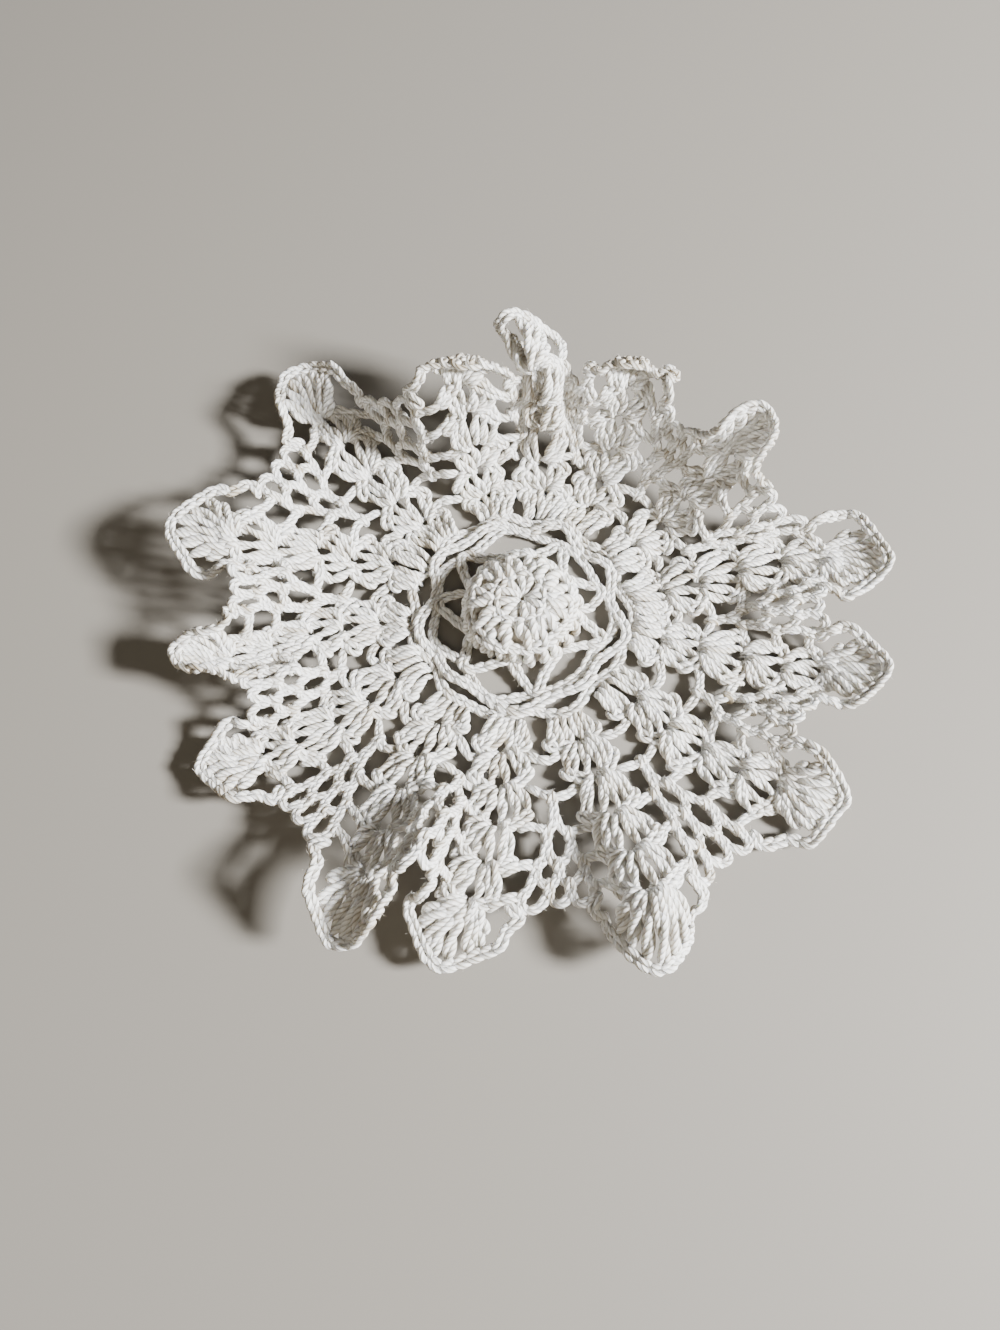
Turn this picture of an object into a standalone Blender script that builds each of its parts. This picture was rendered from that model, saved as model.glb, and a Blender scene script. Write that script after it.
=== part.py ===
# Crocheted lace doily: one piece of cotton-type yarn, worked round by round from the middle,
# lying on a table with its fourteen rays ruffled.
#
# The cloth is laid out flat first, as a pattern with a distance from the middle ("along") and a
# turn counted in rays, and its gaps are cut there. Each point is then carried to where the cloth
# lies: a ray follows a spine that rises and swings by the angles in RAYS, and the mesh between
# two rays hangs from their edges. The open sheet that this makes is the underside, and its
# thickness is then added upwards.
#
# Sizes are in millimetres and angles in degrees until the last step, which makes metres.

import math
from collections import namedtuple

import bpy
import numpy as np
from mathutils import Vector
from mathutils.geometry import delaunay_2d_cdt

NAME = "doily"
MM = 0.001

# ---- driving sizes ----
YARN_CHAIN = 3.0  # width of a crocheted chain
CLOTH_THICK = 3.4  # height of a full shell of stitches
CHAIN_THICK = 2.6  # height of a chain
RING_RADIUS = 33.3  # outside of the chain rings, where the first shells start
ROUNDS = (42.0, 53.5, 65.5, 77.5, 88.5)  # how far along a ray the tops of shells 1 to 5 are
RAY_HALF = 7.2  # half the width of a ray's shells
FAN_TIP = 108.5
# half of the end fan's outline, from its tip to the mesh, and its ear loop's gap: (along, across)
FAN_SIDE = ((107.5, 2.8), (103.4, 8.8), (99.4, 13.8), (95.4, 15.0), (91.0, 14.6), (88.2, 13.2))
FAN_WIDEST = (95.0, 14.5)
EAR_GAP = ((90.6, 8.3), (93.6, 7.9), (97.4, 9.4), (96.6, 11.4), (92.0, 11.7))
CENTRE_SHIFT = (-4.6, 9.5)  # from the middle of the box to the middle of the rosette

# ---- how each ray lies ----
# bearing: where the ray leaves the rings. draw: its length against the flat pattern.
# rise: slope up from the table, at RISE_AT along. swing: turn away from the bearing, at SWING_AT.
# bank: left edge up, and cup: turn of the section from edge to edge, both at BANK_AT.
# fold: how far the mesh to the left of the ray stands up (or hangs down) halfway across.
# crease: half the width that a sharply folded section turns over; 0 for a section bent evenly.
Ray = namedtuple("Ray", "bearing draw rise swing bank cup fold crease")
RISE_AT = (50, 66, 83, 93, 104)
SWING_AT = (48, 72, 98)
BANK_AT = (66, 98)
RAYS = (
    Ray(9.0, 1.06, (4, 8, 10, 16, 26), (6, 0, -16), (0, 0), (0, 10), 0, 0),
    Ray(32.0, 0.90, (14, 32, 48, 60, 50), (8, 0, 25), (0, 0), (40, 90), 0, 0),
    Ray(59.5, 0.88, (25, 52, 68, 35, 150), (2, 14, 28), (0, 0), (0, 60), 0, 0),
    Ray(80.0, 0.92, (52, 68, 82, 24, 8), (12, 27, 48), (-52, -50), (-160, -170), 0, 2.0),
    Ray(104.5, 0.84, (48, 74, 66, 40, 160), (4, 3, -12), (0, 0), (10, 30), 0, 0),
    Ray(134.5, 1.02, (6, 6, 10, 11, 6), (4, -6, -5), (0, 0), (0, 50), 0, 0),
    Ray(157.0, 1.00, (17, 26, 26, 10, -5), (22, 24, 11), (0, 0), (-10, -10), 8, 0),
    Ray(184.0, 0.92, (6, 15, 15, 15, 10), (6, 24, -4), (0, -10), (10, 120), 5, 0),
    Ray(208.5, 0.94, (0, 0, 4, 10, 12), (12, 4, -16), (0, 0), (0, 40), 0, 0),
    Ray(234.0, 1.03, (15, 22, 17, 8, -10), (10, 24, 10), (20, 15), (15, 60), 12, 0),
    Ray(262.0, 0.94, (8, 18, 0, -8, 0), (10, -16, -10), (0, 0), (0, 0), 0, 0),
    Ray(291.0, 1.03, (8, 25, 24, 8, -18), (6, 0, -22), (0, 0), (-60, -90), 0, 0),
    Ray(320.0, 1.00, (2, 2, 6, 12, 20), (-3, 8, 30), (0, 20), (0, 10), 6, 0),
    Ray(348.0, 1.02, (0, 0, 4, 22, 36), (-5, 2, 10), (0, 0), (0, 30), 7, 0),
)
COUNT = len(RAYS)

# ---- the mesh between two rays ----
# Row k has k - 1 chain loops (row 1 and row 2 one bar). Height along, at the rays and midway.
MESH_ROWS = {
    1: (44.0, 45.0),
    2: (54.5, 55.5),
    3: (66.0, 64.0),
    4: (78.0, 72.0),
    5: (89.0, 79.0),
    6: (94.0, 86.0),
}
SLOT_FROM = 37.4  # along, where the narrow gap between the feet of two rays starts
LAST_ROW = 6
OUTER_LOOPS = (1, 2, 3)  # of the last row: its first and last are the fans' ear loops
SMALLEST_GAP = 2.2  # a gap narrower than this stays uncut
SMALLEST_EDGE = 0.7  # of a gap's outline
MESH_SLACK = 1.15  # the mesh's width worked flat, against an even share of the round

# ---- the star of chain loops round the rosette ----
STAR_POINTS = (-187, -133, -79, -18, 16, 61, 134)  # bearings of its points
STAR_REACH = 24.0
STAR_FEET = 16.8
RING_INSIDE = 27.5
STAR_SPREAD = 2.6  # half chains from a point of the star to the gaps beside it

# ---- the rosette's inner face, turned: share of the way to its foot, radius, height ----
DOME = (
    (0.00, 0.0, 9.6),
    (0.30, 5.0, 11.0),
    (0.52, 9.2, 11.2),
    (0.68, 12.2, 9.4),
    (0.82, 14.2, 5.4),
    (0.92, 15.2, 1.0),
    (1.00, STAR_FEET, 0.0),
)
RING_ROW = 32.0  # a round of points in the chain rings
PETAL_STITCHES = 12  # stitches round the top of the rosette
STITCH_DEEP = 0.7
STITCHES_FROM, STITCHES_TO = 0.2, 0.9  # the share of the rosette that they are raised on

# ---- the flat pattern ----
RAY_SHARE = 0.27  # of the turn between two rays, taken by half a ray
PATTERN_GAP = 22.0  # mm across that one whole gap stands for beside a fan
POLAR_TO = 34.0  # inside this the cloth lies in plain rounds
RAYS_FROM = 44.0  # and outside this along the rays
STEP = 0.5  # of the spines
CLOTH_ROW = 6.0  # from one row of points in a ray to the next


def smooth(x):
    x = np.clip(x, 0, 1)
    return x * x * (3 - 2 * x)


# ---- where the cloth lies ----
class Spine:
    """The line down the middle of a ray: points, directions, left hand, upward side and curl."""

    def __init__(self, ray):
        self.along = np.arange(ROUNDS[0], FAN_TIP + 6, STEP)
        rise = np.radians(np.interp(self.along, (ROUNDS[0],) + RISE_AT, (0,) + ray.rise))
        heading = np.radians(ray.bearing + np.interp(self.along, SWING_AT, ray.swing))
        bank = np.radians(np.interp(self.along, (ROUNDS[1],) + BANK_AT, (0,) + ray.bank))[:, None]
        cup = np.radians(np.interp(self.along, (ROUNDS[1],) + BANK_AT, (0,) + ray.cup))
        self.curl = cup / (2 * (ray.crease or RAY_HALF))
        self.bent = ray.crease or FAN_TIP
        flat = np.cos(rise)
        self.ahead = np.stack([flat * np.cos(heading), flat * np.sin(heading), np.sin(rise)], -1)
        start = math.radians(ray.bearing)
        steps = (self.ahead[1:] + self.ahead[:-1]) / 2 * STEP * ray.draw
        first = ROUNDS[0] * np.array([[math.cos(start), math.sin(start), 0.0]])
        self.points = np.concatenate([first, first + np.cumsum(steps, 0)])
        level = np.stack([-np.sin(heading), np.cos(heading), 0 * heading], -1)
        self.left = level * np.cos(bank) + np.cross(self.ahead, level) * np.sin(bank)
        self.up = np.cross(self.ahead, self.left)

    def read(self, values, along):
        place = np.clip((along - self.along[0]) / STEP, 0, len(self.along) - 1.001)
        low = place.astype(int)
        share = (place - low).reshape(place.shape + (1,) * (values.ndim - 1))
        return values[low] * (1 - share) + values[low + 1] * share


SPINES = [Spine(ray) for ray in RAYS]


def above_table(points):
    points[..., 2] = np.maximum(points[..., 2], 0.0)
    return points


def on_ray(number, along, across):
    """Point on a ray, and the direction to its left there: an arc of the ray's curl, then straight."""
    spine = SPINES[number % COUNT]
    curl = spine.read(spine.curl, along)
    curl = np.where(np.abs(curl) < 1e-5, 1e-5, curl)
    arc = np.clip(across, -spine.bent, spine.bent)
    turn = (curl * arc)[..., None]
    left, up, curl = spine.read(spine.left, along), spine.read(spine.up, along), curl[..., None]
    way = np.cos(turn) * left + np.sin(turn) * up
    point = spine.read(spine.points, along) + np.sin(turn) / curl * left + (1 - np.cos(turn)) / curl * up
    return point + (across - arc)[..., None] * way, way


def in_gap(number, along, share):
    """Point in the mesh left of a ray: a curve that leaves both rays' edges in their own direction."""
    near, near_way = on_ray(number, along, np.full_like(along, RAY_HALF))
    far, far_way = on_ray(number + 1, along, np.full_like(along, -RAY_HALF))
    reach = np.linalg.norm(far - near, axis=-1, keepdims=True)
    t = share[..., None]
    point = (
        (2 * t**3 - 3 * t**2 + 1) * near
        + (t**3 - 2 * t**2 + t) * reach * near_way
        + (3 * t**2 - 2 * t**3) * far
        + (t**3 - t**2) * reach * far_way
    )
    lift = RAYS[number % COUNT].fold * smooth((along - ROUNDS[1]) / 30)
    point[..., 2] += lift * np.sin(np.pi * share)
    return point


def ray_edges():
    """The edges of every ray at its foot: turns in the pattern, and true bearings."""
    edge = math.degrees(math.asin(RAY_HALF / ROUNDS[0]))
    turns, bearings = [], []
    for n in range(-COUNT, 2 * COUNT):
        base = RAYS[n % COUNT].bearing + 360 * (n // COUNT)
        turns += [n - RAY_SHARE, n + RAY_SHARE]
        bearings += [base - edge, base + edge]
    return turns, bearings


def in_rounds(turn, along):
    """Point of the middle: plain rounds, with the rosette raised over them."""
    angle = np.radians(np.interp(turn, *ray_edges()))
    shares, radii, heights = zip(*DOME)
    share = np.clip(along / STAR_FEET, 0, 1)
    radius = np.where(along < STAR_FEET, np.interp(share, shares, radii), along)
    height = np.interp(share, shares, heights)
    return np.stack([radius * np.cos(angle), radius * np.sin(angle), height], -1)


def lie(turn, along):
    """Where the point of the flat pattern at a turn (in rays) and a distance along lies."""
    number = np.floor(turn + 0.5).astype(int)
    off = turn - number
    points = in_rounds(turn, along)
    out = np.flatnonzero(along > POLAR_TO)
    for n in np.unique(number[out]):
        pick = out[number[out] == n]
        here, s = off[pick], along[pick]
        share = np.clip((np.abs(here) - RAY_SHARE) / (1 - 2 * RAY_SHARE), 0, 1)
        within = np.abs(here) <= RAY_SHARE
        across = np.where(within, np.abs(here) / RAY_SHARE * RAY_HALF, RAY_HALF + share * PATTERN_GAP)
        ray_point, _ = on_ray(n, s, across * np.sign(here))
        gap_point = np.where((here > 0)[:, None], in_gap(n, s, share), in_gap(n - 1, s, 1 - share))
        by_ray = np.where(within, 1.0, smooth((s - ROUNDS[4]) / 5))[:, None]
        target = above_table(by_ray * ray_point + (1 - by_ray) * gap_point)
        mix = smooth((s - POLAR_TO) / (RAYS_FROM - POLAR_TO))[:, None]
        points[pick] = mix * target + (1 - mix) * points[pick]
    return points


# ---- the pattern's outlines, as lists of (turn, along) ----
def beside(number, along, across):
    """The pattern's turn for a point at a ray, across it in mm, also past its edge."""
    size = abs(across)
    if size <= RAY_HALF:
        return number + math.copysign(size / RAY_HALF * RAY_SHARE, across), along
    share = (size - RAY_HALF) / PATTERN_GAP
    return number + math.copysign(RAY_SHARE + share * (1 - 2 * RAY_SHARE), across), along


def between(number, along, share):
    """The pattern's turn for a point in the gap left of a ray."""
    return number + RAY_SHARE + share * (1 - 2 * RAY_SHARE), along


def row_height(row, share):
    at_rays, midway = MESH_ROWS[row]
    return midway + (at_rays - midway) * (2 * share - 1) ** 2


def half_loop(row, loop, end):
    """Half of a chain loop of a mesh row, as (along, share) at its foot, haunch and crown."""
    loops = row - 1
    crown = (loop + 0.5) / loops if row == LAST_ROW else (loop + 1) / row
    foot = (loop + end) / loops
    at_ray = loop + end in (0, loops)
    low, top = row_height(row if at_ray else row - 1, foot), row_height(row, crown)
    turns = np.radians((0, 50, 90))
    return [(low + (top - low) * math.sin(a), foot + (crown - foot) * (1 - math.cos(a))) for a in turns]


def gap_width(number, along):
    """How wide the mesh is from ray to ray: as it lies along its curve, or as worked flat if more."""
    shares = np.linspace(0, 1, 9)
    points = in_gap(number, np.full(9, float(along)), shares)
    lying = float(np.linalg.norm(np.diff(points, axis=0), axis=1).sum())
    return max(lying, MESH_SLACK * (2 * math.pi * along / COUNT - 2 * RAY_HALF))


def drawn_in(outline, by):
    """An anticlockwise outline with each edge moved inwards; edges that vanish are left out."""
    outline = [np.array(p, float) for p in outline]
    lines = []
    for here, after in zip(outline, outline[1:] + outline[:1]):
        way = (after - here) / max(np.linalg.norm(after - here), 1e-9)
        inward = np.array([-way[1], way[0]])
        lines.append((here + inward * by, way))
    while len(lines) > 2:
        corners = []
        for (point, way), (other, other_way) in zip(lines[-1:] + lines[:-1], lines):
            cross = way[0] * other_way[1] - way[1] * other_way[0]
            if abs(cross) < 0.05:
                corners.append(other)
                continue
            gap = other - point
            corners.append(point + way * (gap[0] * other_way[1] - gap[1] * other_way[0]) / cross)
        lengths = [np.dot(b - a, way) for a, b, (_, way) in zip(corners, corners[1:] + corners[:1], lines)]
        worst = int(np.argmin(lengths))
        if lengths[worst] > SMALLEST_EDGE:
            return corners
        lines.pop(worst)
    return []


def mesh_gaps(number):
    """The gaps of the mesh left of a ray, each a closed outline in the pattern."""
    first_bar = [(row_height(1, share), share) for share in (1.0, 0.5, 0.0)]
    bar = [(row_height(2, share), share) for share in (0.0, 0.25, 0.5, 0.75, 1.0)]
    centres = [first_bar + [(SLOT_FROM, 0.0), (SLOT_FROM, 1.0)], first_bar + bar]
    for row in range(3, LAST_ROW + 1):
        for loop in range(row - 1) if row < LAST_ROW else OUTER_LOOPS:
            outline = half_loop(row, loop, 0) + half_loop(row, loop, 1)[1::-1]
            if row == 3:
                outline += [bar[4], bar[2]] if loop else [bar[2], bar[0]]
            else:
                last = loop == row - 2
                outline.append(half_loop(row - 1, loop - 1 if last else loop, 1 if last else 0)[0])
            centres.append(outline)
    made = []
    for outline in centres:
        width = gap_width(number, np.mean([s for s, _ in outline]))
        side = YARN_CHAIN / 2 / width  # the gap reaches the shells, which lie half a chain back
        local = [(s, width * (-side if u < 0.01 else 1 + side if u > 0.99 else u)) for s, u in outline]
        area = sum(a[0] * b[1] - a[1] * b[0] for a, b in zip(local, local[1:] + local[:1]))
        corners = drawn_in(local if area > 0 else local[::-1], YARN_CHAIN / 2)
        if corners and np.ptp(corners, axis=0).min() > SMALLEST_GAP:
            made.append([between(number, s, u / width) for s, u in corners])
    for side in (1, -1):
        made.append([beside(number, s, side * u) for s, u in EAR_GAP])
    return made


def star_gaps():
    """The gaps inside and between the loops of the star, as (bearing, radius)."""
    half = YARN_CHAIN / 2
    spread = STAR_SPREAD * math.degrees(half / RING_INSIDE)
    inset = STAR_SPREAD * math.degrees(half / STAR_FEET)
    made = []
    around = STAR_POINTS + (STAR_POINTS[0] + 360, STAR_POINTS[1] + 360)
    for here, after, beyond in zip(around, around[1:], around[2:]):
        foot, next_foot = (here + after) / 2, (after + beyond) / 2
        between_loops = [(foot, STAR_FEET + STAR_SPREAD * half), (after - spread, STAR_REACH + half / 2)]
        between_loops += [(after - spread, RING_INSIDE), (foot, RING_INSIDE), (here + spread, RING_INSIDE)]
        made.append(between_loops + [(here + spread, STAR_REACH + half / 2)])
        low = STAR_FEET + half / 2
        made.append([(foot + inset, low), (after, STAR_REACH - half), (next_foot - inset, low), (after, low)])
    turns, bearings = ray_edges()
    return [[(float(np.interp(b, bearings, turns)), radius) for b, radius in gap] for gap in made]


def rim():
    """The outer edge of the whole cloth, once round."""
    half = YARN_CHAIN / 2
    ear = (FAN_SIDE[-1][1] - RAY_HALF) / PATTERN_GAP
    line = []
    for n in range(COUNT):
        line += [beside(n, s, -u) for s, u in reversed(FAN_SIDE)]
        line += [beside(n, FAN_TIP, 0.0)] + [beside(n, s, u) for s, u in FAN_SIDE]
        for loop in OUTER_LOOPS:
            arch = half_loop(LAST_ROW, loop, 0) + half_loop(LAST_ROW, loop, 1)[1::-1]
            crown = [(s, share) for s, share in arch[1:4] if ear < share < 1 - ear]
            line += [between(n, s + half, share) for s, share in crown]
            line += [between(n, arch[4][0] + 1.3 * half, arch[4][1])] if loop < OUTER_LOOPS[-1] else []
    return line


# ---- the sheet ----
def flat_place(turn, along):
    angle = 2 * math.pi * turn / COUNT
    return along * math.cos(angle), along * math.sin(angle)


def inner_points():
    """Points inside the pattern that let the sheet bend: (turn, along)."""
    made = [(0.0, 0.0)]
    for share, _, _ in DOME[1:]:
        made += [(COUNT * k / (2 * PETAL_STITCHES), share * STAR_FEET) for k in range(2 * PETAL_STITCHES)]
    made += [(k / 4, RING_ROW) for k in range(4 * COUNT)]
    for n in range(COUNT):
        for along in np.arange(RAYS_FROM - 4, FAN_TIP - 2, CLOTH_ROW):
            fan = along > ROUNDS[4] + 2
            steps = (-0.72, -0.36, 0, 0.36, 0.72) if fan else (-0.6, 0, 0.6)
            reach = FAN_WIDEST[1] * min(1.0, (FAN_TIP - along) / (FAN_TIP - FAN_WIDEST[0]))
            made += [beside(n, float(along), (reach if fan else RAY_HALF) * step) for step in steps]
    return made


def inside(outline, x, y):
    """Whether points lie in a closed outline: the crossings to one side are odd."""
    px, py = np.array(outline).T
    qx, qy = np.roll(px, -1), np.roll(py, -1)
    crosses = (py[None] > y[:, None]) != (qy[None] > y[:, None])
    at = (qx - px)[None] * (y[:, None] - py[None]) / np.where(qy == py, 1e-9, qy - py)[None] + px[None]
    return (crosses & (x[:, None] < at)).sum(1) % 2 == 1


def pattern():
    """The flat pattern cut and divided into triangles: turns, alongs, triangles."""
    loops = [rim()]
    for n in range(COUNT):
        loops += mesh_gaps(n)
    loops += star_gaps()
    outlines = [[flat_place(*p) for p in loop] for loop in loops]
    corners, edges = [], []
    for outline in outlines:
        first = len(corners)
        corners += outline
        edges += [(first + k, first + (k + 1) % len(outline)) for k in range(len(outline))]
    free = np.array([flat_place(*p) for p in inner_points()])
    blocked = np.zeros(len(free), bool)
    for outline in outlines[1:]:
        middle = np.mean(outline, 0)
        grown = [tuple(middle + (np.array(p) - middle) * 1.25) for p in outline]
        blocked |= inside(grown, free[:, 0], free[:, 1])
    corners += [tuple(p) for p in free[~blocked]]
    flat, _, faces, *_ = delaunay_2d_cdt([Vector(c) for c in corners], edges, [], 1, 1e-5)
    flat = np.array([tuple(v) for v in flat])
    faces = np.array(faces)
    centre = flat[faces].mean(1)
    keep = inside(outlines[0], centre[:, 0], centre[:, 1])
    for outline in outlines[1:]:
        keep &= ~inside(outline, centre[:, 0], centre[:, 1])
    faces = faces[keep]
    used, faces = np.unique(faces, return_inverse=True)
    flat, faces = flat[used], faces.reshape(-1, 3)
    print("gaps cut:", len(outlines) - 1, "flat triangles:", len(faces))
    along = np.hypot(flat[:, 0], flat[:, 1])
    turn = np.arctan2(flat[:, 1], flat[:, 0]) / (2 * math.pi) * COUNT
    return np.mod(turn + 0.5, COUNT) - 0.5, along, faces


def thickness(turn, along):
    """Share of the full thickness: chains are thinner than shells, and each shell swells midway."""
    off = np.abs(turn - np.round(turn))
    rounds = np.array((RING_RADIUS,) + ROUNDS + (FAN_TIP,))
    lower = np.clip(np.searchsorted(rounds, along) - 1, 0, len(rounds) - 2)
    swell = np.sin(np.pi * np.clip((along - rounds[lower]) / (rounds[lower + 1] - rounds[lower]), 0, 1))
    shell = (off < RAY_SHARE) & (along > RING_RADIUS)
    thin = CHAIN_THICK / CLOTH_THICK
    return np.where(shell, thin + (1 - thin) * swell, thin)


def stitches_on_rosette(points, turn, along):
    """Raises the rosette's stitches as lobes round it."""
    share = along / STAR_FEET
    lobes = np.cos(2 * math.pi * PETAL_STITCHES * turn / COUNT)
    amount = STITCH_DEEP * lobes * ((share > STITCHES_FROM) & (share < STITCHES_TO))
    radius = np.maximum(np.hypot(points[:, 0], points[:, 1]), SMALLEST_EDGE)
    outward = smooth((share - STITCHES_FROM) / (DOME[3][0] - STITCHES_FROM))
    points[:, 0] += points[:, 0] / radius * amount * outward
    points[:, 1] += points[:, 1] / radius * amount * outward
    points[:, 2] += amount * (1 - outward) / 2
    return points


def yarn_material():
    material = bpy.data.materials.new("doily yarn")
    material.use_nodes = True
    shader = material.node_tree.nodes["Principled BSDF"]
    shader.inputs["Base Color"].default_value = (0.86, 0.84, 0.77, 1)
    shader.inputs["Roughness"].default_value = 0.85
    shader.inputs["Metallic"].default_value = 0.0
    return material


def build_doily(collection):
    turn, along, faces = pattern()
    points = stitches_on_rosette(lie(turn, along), turn, along)
    points[:, :2] += CENTRE_SHIFT
    mesh = bpy.data.meshes.new(NAME)
    mesh.from_pydata((points * MM).tolist(), [], faces.tolist())
    mesh.materials.append(yarn_material())
    doily = bpy.data.objects.new(NAME, mesh)
    collection.objects.link(doily)
    group = doily.vertex_groups.new(name="thickness")
    for number, share in enumerate(thickness(turn, along)):
        group.add([number], float(share), "REPLACE")
    solid = doily.modifiers.new("thickness", "SOLIDIFY")
    solid.thickness = CLOTH_THICK * MM
    solid.offset = 1
    solid.vertex_group = group.name
    solid.use_quality_normals = True
    mesh.shade_smooth()
    return doily


def main():
    for thing in list(bpy.data.objects):
        bpy.data.objects.remove(thing)
    collection = bpy.data.collections.new("lace doily")
    bpy.context.scene.collection.children.link(collection)
    build_doily(collection)


main()
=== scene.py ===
import math

import bpy
import numpy as np
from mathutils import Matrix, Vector


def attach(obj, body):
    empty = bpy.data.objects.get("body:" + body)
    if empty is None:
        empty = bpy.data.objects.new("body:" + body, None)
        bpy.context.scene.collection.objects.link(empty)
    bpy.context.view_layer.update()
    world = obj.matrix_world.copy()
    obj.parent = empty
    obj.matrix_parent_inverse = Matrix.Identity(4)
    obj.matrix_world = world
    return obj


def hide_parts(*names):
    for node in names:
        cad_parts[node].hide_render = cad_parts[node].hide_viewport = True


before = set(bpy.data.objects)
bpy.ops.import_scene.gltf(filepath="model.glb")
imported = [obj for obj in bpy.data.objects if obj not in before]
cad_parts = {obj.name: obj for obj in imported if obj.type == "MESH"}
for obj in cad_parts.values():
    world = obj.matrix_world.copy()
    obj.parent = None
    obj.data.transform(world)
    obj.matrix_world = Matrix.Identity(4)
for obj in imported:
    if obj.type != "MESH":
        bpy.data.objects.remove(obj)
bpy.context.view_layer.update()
mm = 0.001
seeded = np.random.default_rng(14)

# ---------- how the cloth lies: the same rays as the solid part, in millimetres and degrees
lay = {
    "shift": (-4.6, 9.5),  # from the origin to the middle of the rosette
    "rounds": (42.0, 53.5, 65.5, 77.5, 88.5),  # where shells 1 to 5 end along a ray
    "tip": 108.5,
    "rayHalf": 7.2,
    "riseAt": (42.0, 50, 66, 83, 93, 104),
    "swingAt": (48, 72, 98),
    "bankAt": (53.5, 66, 98),
    "gapWide": 22.0,  # across one mesh, beside a fan
    "rayShare": 0.27,
    "polarTo": 34.0,
    "raysFrom": 44.0,
    "step": 0.5,
    "pastTip": 6.0,  # mm, how far a ray's line runs on past its tip
    "foldOver": 30.0,  # mm along, in which the mesh's fold grows to its full height
    "fanOver": 5.0,  # mm along, in which the mesh gives way to the fan beside it
    "sideStep": (0.4, 0.02),  # mm along and turns, each way, to where the upward side is read
    "stray": 1.3,  # mm, how far the handwork strays from the pattern
    "strayOver": 16.0,  # mm from wave to wave
    "strayHigh": 0.3,  # the share of it that goes up or down in the middle
}

# bearing, draw, slopes, turns, left edge up, curl of the section, fold of the mesh to its left, crease
rays = (
    (9.0, 1.06, (4, 8, 10, 16, 26), (6, 0, -16), (0, 0), (0, 10), 0, 0),
    (32.0, 0.90, (14, 32, 48, 60, 50), (8, 0, 25), (0, 0), (40, 90), 0, 0),
    (59.5, 0.88, (25, 52, 68, 35, 150), (2, 14, 28), (0, 0), (0, 60), 0, 0),
    (80.0, 0.92, (52, 68, 82, 24, 8), (12, 27, 48), (-52, -50), (-160, -170), 0, 2.0),
    (104.5, 0.84, (48, 74, 66, 40, 160), (4, 3, -12), (0, 0), (10, 30), 0, 0),
    (134.5, 1.02, (6, 6, 10, 11, 6), (4, -6, -5), (0, 0), (0, 50), 0, 0),
    (157.0, 1.00, (17, 26, 26, 10, -5), (22, 24, 11), (0, 0), (-10, -10), 8, 0),
    (184.0, 0.92, (6, 15, 15, 15, 10), (6, 24, -4), (0, -10), (10, 120), 5, 0),
    (208.5, 0.94, (0, 0, 4, 10, 12), (12, 4, -16), (0, 0), (0, 40), 0, 0),
    (234.0, 1.03, (15, 22, 17, 8, -10), (10, 24, 10), (20, 15), (15, 60), 12, 0),
    (262.0, 0.94, (8, 18, 0, -8, 0), (10, -16, -10), (0, 0), (0, 0), 0, 0),
    (291.0, 1.03, (8, 25, 24, 8, -18), (6, 0, -22), (0, 0), (-60, -90), 0, 0),
    (320.0, 1.00, (2, 2, 6, 12, 20), (-3, 8, 30), (0, 20), (0, 10), 6, 0),
    (348.0, 1.02, (0, 0, 4, 22, 36), (-5, 2, 10), (0, 0), (0, 30), 7, 0),
)
rayCount = len(rays)


# smooth step from 0 to 1
def smooth(x):
    x = np.clip(x, 0, 1)
    return x * x * (3 - 2 * x)


# each row divided by its length
def unit(v):
    return v / np.maximum(np.linalg.norm(v, axis=-1, keepdims=True), 1e-12)


# the line down a ray: the slope and the turn are read along it, and the steps are added up
def spineOf(ray):
    bearing, draw, rise, swing, bank, cup, fold, crease = ray
    along = np.arange(lay["rounds"][0], lay["tip"] + lay["pastTip"], lay["step"])
    slope = np.radians(np.interp(along, lay["riseAt"], (0,) + rise))
    heading = np.radians(bearing + np.interp(along, lay["swingAt"], swing))
    lean = np.radians(np.interp(along, lay["bankAt"], (0,) + bank))[:, None]
    curl = np.radians(np.interp(along, lay["bankAt"], (0,) + cup)) / (2 * (crease or lay["rayHalf"]))
    ahead = np.stack([np.cos(slope) * np.cos(heading), np.cos(slope) * np.sin(heading), np.sin(slope)], -1)
    start = math.radians(bearing)
    first = lay["rounds"][0] * np.array([[math.cos(start), math.sin(start), 0.0]])
    points = np.concatenate([first, first + np.cumsum((ahead[1:] + ahead[:-1]) / 2 * lay["step"] * draw, 0)])
    level = np.stack([-np.sin(heading), np.cos(heading), 0 * heading], -1)
    left = level * np.cos(lean) + np.cross(ahead, level) * np.sin(lean)
    return {
        "along": along,
        "points": points,
        "left": left,
        "up": np.cross(ahead, left),
        "curl": curl,
        "fold": fold,
        "bent": crease or lay["tip"],
    }


spines = [spineOf(ray) for ray in rays]


# a spine's values between its steps
def readSpine(spine, key, along):
    values = spine[key]
    place = np.clip((along - spine["along"][0]) / lay["step"], 0, len(values) - 1.001)
    low = place.astype(int)
    share = (place - low).reshape(place.shape + (1,) * (values.ndim - 1))
    return values[low] * (1 - share) + values[low + 1] * share


# a ray's section is an arc: sin(k x) / k to the left and (1 - cos(k x)) / k up, and straight past a crease
def onRay(number, along, across):
    spine = spines[number % rayCount]
    curl = readSpine(spine, "curl", along)
    curl = np.where(np.abs(curl) < 1e-5, 1e-5, curl)[..., None]
    arc = np.clip(across, -spine["bent"], spine["bent"])[..., None]
    turn = curl * arc
    left, up = readSpine(spine, "left", along), readSpine(spine, "up", along)
    point = readSpine(spine, "points", along) + np.sin(turn) / curl * left + (1 - np.cos(turn)) / curl * up
    way = np.cos(turn) * left + np.sin(turn) * up
    return point + (across[..., None] - arc) * way, way


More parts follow.
